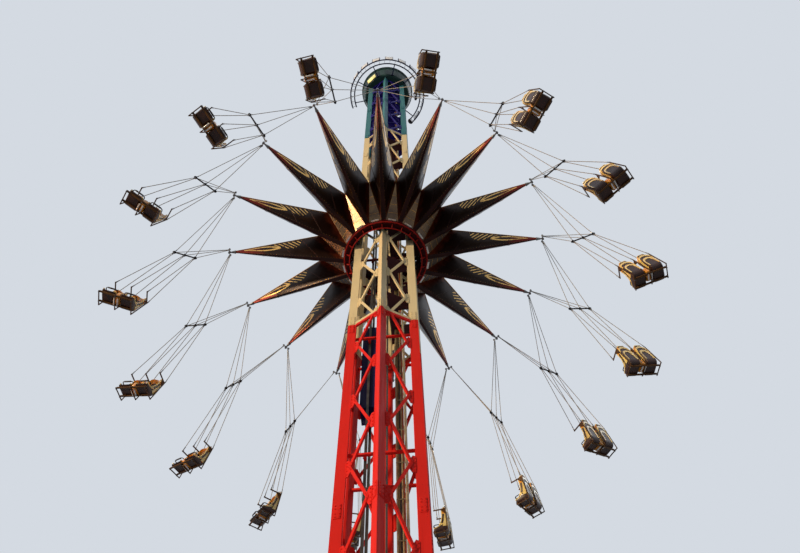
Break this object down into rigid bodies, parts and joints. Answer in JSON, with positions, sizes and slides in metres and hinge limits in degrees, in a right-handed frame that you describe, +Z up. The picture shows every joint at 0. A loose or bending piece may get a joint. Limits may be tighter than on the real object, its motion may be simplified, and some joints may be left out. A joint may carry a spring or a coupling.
{
  "type": "chair-swing tower ride, 1:2 scale model",
  "caption": "Six-sided lattice tower with a sliding, turning star that carries double swing seats on cables.",
  "frame": {"origin": "centre of the underside of the base plate, on the tower's axis", "axes": "+Z up the tower; -Y towards the front post, where the visitor stands; +X to that visitor's right"},
  "size_m": [9.3474, 9.3474, 31.8083],
  "materials": {
    "red_paint": "semi-gloss enamel on steel",
    "cream_paint": "semi-gloss enamel on steel",
    "teal_paint": "semi-gloss enamel on steel",
    "violet_paint": "semi-gloss enamel on steel",
    "base_paint": "semi-gloss enamel on steel",
    "ladder_zinc": "hot-dip galvanised",
    "cable_brown": "matt cable sheath and tray",
    "rail_steel": "greased rolled steel",
    "rope_steel": "greased wire rope",
    "cap_green": "dark satin enamel",
    "hoop_navy": "dark satin enamel",
    "sign_white": "white acrylic",
    "lamp_black": "black moulded housing",
    "weight_navy": "dark satin enamel",
    "carriage_red": "dark red enamel",
    "roller_black": "black polyurethane tyre",
    "hub_red": "dark red enamel",
    "arm_skin": "dark bronze sheet with a printed pattern",
    "panel_gold": "gold and copper sheet",
    "fitting_steel": "machined steel",
    "cable_steel": "bright wire rope",
    "seat_shell": "moulded amber shell, dark inside"
  },
  "bodies": {
    "tower": {"base_plate": "base_paint", "red_posts": "red_paint", "red_lacing": "red_paint", "cream_posts": "cream_paint", "cream_lacing": "cream_paint", "blue_posts": "teal_paint", "blue_lacing": "violet_paint", "ladder": "ladder_zinc", "cable_run": "cable_brown", "guide_rails": "rail_steel", "hoist_ropes": "rope_steel", "cap_underside": "cap_green", "cap_roof": "cap_green", "sign_hoops": "hoop_navy", "sign_plates": "sign_white", "oval_lamp": "lamp_black"},
    "counterweight": {"counterweight": "weight_navy"},
    "carriage": {"carriage_frame": "carriage_red", "guide_rollers": "roller_black"},
    "star": {"hub_ring": "hub_red", "arm_shells": "arm_skin", "valley_panels": "panel_gold", "tip_fittings": "fitting_steel"},
    "swing_01": {"rigging_01": "cable_steel", "seat_01": "seat_shell"},
    "swing_02": {"rigging_02": "cable_steel", "seat_02": "seat_shell"},
    "swing_03": {"rigging_03": "cable_steel", "seat_03": "seat_shell"},
    "swing_04": {"rigging_04": "cable_steel", "seat_04": "seat_shell"},
    "swing_05": {"rigging_05": "cable_steel", "seat_05": "seat_shell"},
    "swing_06": {"rigging_06": "cable_steel", "seat_06": "seat_shell"},
    "swing_07": {"rigging_07": "cable_steel", "seat_07": "seat_shell"},
    "swing_08": {"rigging_08": "cable_steel", "seat_08": "seat_shell"},
    "swing_09": {"rigging_09": "cable_steel", "seat_09": "seat_shell"},
    "swing_10": {"rigging_10": "cable_steel", "seat_10": "seat_shell"},
    "swing_11": {"rigging_11": "cable_steel", "seat_11": "seat_shell"},
    "swing_12": {"rigging_12": "cable_steel", "seat_12": "seat_shell"},
    "swing_13": {"rigging_13": "cable_steel", "seat_13": "seat_shell"},
    "swing_14": {"rigging_14": "cable_steel", "seat_14": "seat_shell"},
    "swing_15": {"rigging_15": "cable_steel", "seat_15": "seat_shell"},
    "swing_16": {"rigging_16": "cable_steel", "seat_16": "seat_shell"}
  },
  "joints": [
    {"name": "lift", "type": "slide", "parent": "tower", "child": "carriage", "axis": [0, 0, 1], "range_m": [-13.6, 11.5]},
    {"name": "counterweight_run", "type": "slide", "parent": "tower", "child": "counterweight", "axis": [0, 0, 1], "range_m": [-11.5, 13.6]},
    {"name": "star_spin", "type": "hinge", "parent": "carriage", "child": "star", "pos_m": [0, 0, 18.013], "axis": [0, 0, 1], "continuous": true},
    {"name": "swing_01_hinge", "type": "hinge", "parent": "star", "child": "swing_01", "pos_m": [0.75821, -3.04555, 18.013], "axis": [-0.9704, -0.2416, 0], "range_deg": [-18.1, 26.9]},
    {"name": "swing_02_hinge", "type": "hinge", "parent": "star", "child": "swing_02", "pos_m": [1.86598, -2.52357, 18.013], "axis": [-0.8041, -0.5945, 0], "range_deg": [-18.1, 26.9]},
    {"name": "swing_03_hinge", "type": "hinge", "parent": "star", "child": "swing_03", "pos_m": [2.68967, -1.61739, 18.013], "axis": [-0.5153, -0.857, 0], "range_deg": [-18.1, 26.9]},
    {"name": "swing_04_hinge", "type": "hinge", "parent": "star", "child": "swing_04", "pos_m": [3.10388, -0.46499, 18.013], "axis": [-0.1482, -0.989, 0], "range_deg": [-18.1, 26.9]},
    {"name": "swing_05_hinge", "type": "hinge", "parent": "star", "child": "swing_05", "pos_m": [3.04555, 0.75821, 18.013], "axis": [0.2416, -0.9704, 0], "range_deg": [-18.1, 26.9]},
    {"name": "swing_06_hinge", "type": "hinge", "parent": "star", "child": "swing_06", "pos_m": [2.52357, 1.86598, 18.013], "axis": [0.5945, -0.8041, 0], "range_deg": [-18.1, 26.9]},
    {"name": "swing_07_hinge", "type": "hinge", "parent": "star", "child": "swing_07", "pos_m": [1.61739, 2.68967, 18.013], "axis": [0.857, -0.5153, 0], "range_deg": [-18.1, 26.9]},
    {"name": "swing_08_hinge", "type": "hinge", "parent": "star", "child": "swing_08", "pos_m": [0.46499, 3.10388, 18.013], "axis": [0.989, -0.1482, 0], "range_deg": [-18.1, 26.9]},
    {"name": "swing_09_hinge", "type": "hinge", "parent": "star", "child": "swing_09", "pos_m": [-0.75821, 3.04555, 18.013], "axis": [0.9704, 0.2416, 0], "range_deg": [-18.1, 26.9]},
    {"name": "swing_10_hinge", "type": "hinge", "parent": "star", "child": "swing_10", "pos_m": [-1.86598, 2.52357, 18.013], "axis": [0.8041, 0.5945, 0], "range_deg": [-18.1, 26.9]},
    {"name": "swing_11_hinge", "type": "hinge", "parent": "star", "child": "swing_11", "pos_m": [-2.68967, 1.61739, 18.013], "axis": [0.5153, 0.857, 0], "range_deg": [-18.1, 26.9]},
    {"name": "swing_12_hinge", "type": "hinge", "parent": "star", "child": "swing_12", "pos_m": [-3.10388, 0.46499, 18.013], "axis": [0.1482, 0.989, 0], "range_deg": [-18.1, 26.9]},
    {"name": "swing_13_hinge", "type": "hinge", "parent": "star", "child": "swing_13", "pos_m": [-3.04555, -0.75821, 18.013], "axis": [-0.2416, 0.9704, 0], "range_deg": [-18.1, 26.9]},
    {"name": "swing_14_hinge", "type": "hinge", "parent": "star", "child": "swing_14", "pos_m": [-2.52357, -1.86598, 18.013], "axis": [-0.5945, 0.8041, 0], "range_deg": [-18.1, 26.9]},
    {"name": "swing_15_hinge", "type": "hinge", "parent": "star", "child": "swing_15", "pos_m": [-1.61739, -2.68967, 18.013], "axis": [-0.857, 0.5153, 0], "range_deg": [-18.1, 26.9]},
    {"name": "swing_16_hinge", "type": "hinge", "parent": "star", "child": "swing_16", "pos_m": [-0.46499, -3.10388, 18.013], "axis": [-0.989, 0.1482, 0], "range_deg": [-18.1, 26.9]}
  ],
  "couplings": [
    {"joint": "counterweight_run", "follows": "lift", "ratio": -1}
  ]
}
